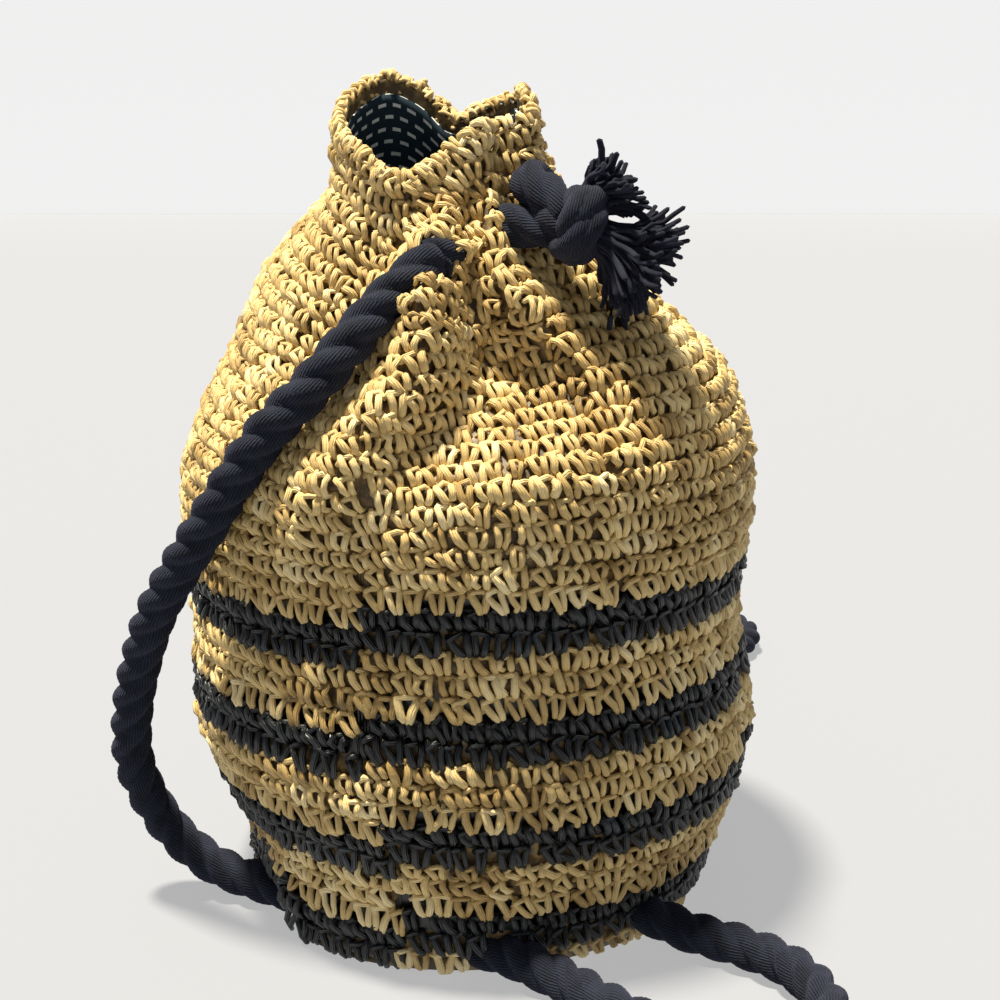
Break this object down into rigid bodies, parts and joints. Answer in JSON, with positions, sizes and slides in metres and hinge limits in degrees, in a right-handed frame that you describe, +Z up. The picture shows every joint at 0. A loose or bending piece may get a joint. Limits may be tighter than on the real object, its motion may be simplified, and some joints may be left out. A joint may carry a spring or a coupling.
{
  "type": "drawstring backpack of crocheted straw",
  "caption": "Round drawstring bucket backpack of crocheted paper straw with dark stripes, a gathered mouth and two thick twisted rope straps.",
  "frame": {"origin": "middle of the bag's base, on the surface that the bag stands on", "axes": "+Z up, towards the mouth; -Y is the side that the picture shows; +X to the right in that view"},
  "size_m": [0.3793, 0.5695, 0.396],
  "materials": {
    "straw": "crocheted paper straw, natural",
    "dark_straw": "crocheted paper straw, dyed dark navy",
    "rope": "twisted cotton rope, dark navy",
    "lining": "printed cotton, dark teal navy with pale dashes"
  },
  "bodies": {
    "root": {"straw_hem": "straw", "navy_band_4": "dark_straw", "straw_band_3": "straw", "navy_band_3": "dark_straw", "straw_band_2": "straw", "navy_band_2": "dark_straw", "straw_band_1": "straw", "navy_band_1": "dark_straw", "straw_yoke": "straw", "base": "straw", "lining": "lining", "drawstring_front": "rope", "drawstring_back": "rope", "left_strap": "rope", "right_strap": "rope", "left_stopper_knot": "rope", "right_stopper_knot": "rope", "knot": "rope", "tassel_upper": "rope", "tassel_lower": "rope"}
  },
  "joints": []
}
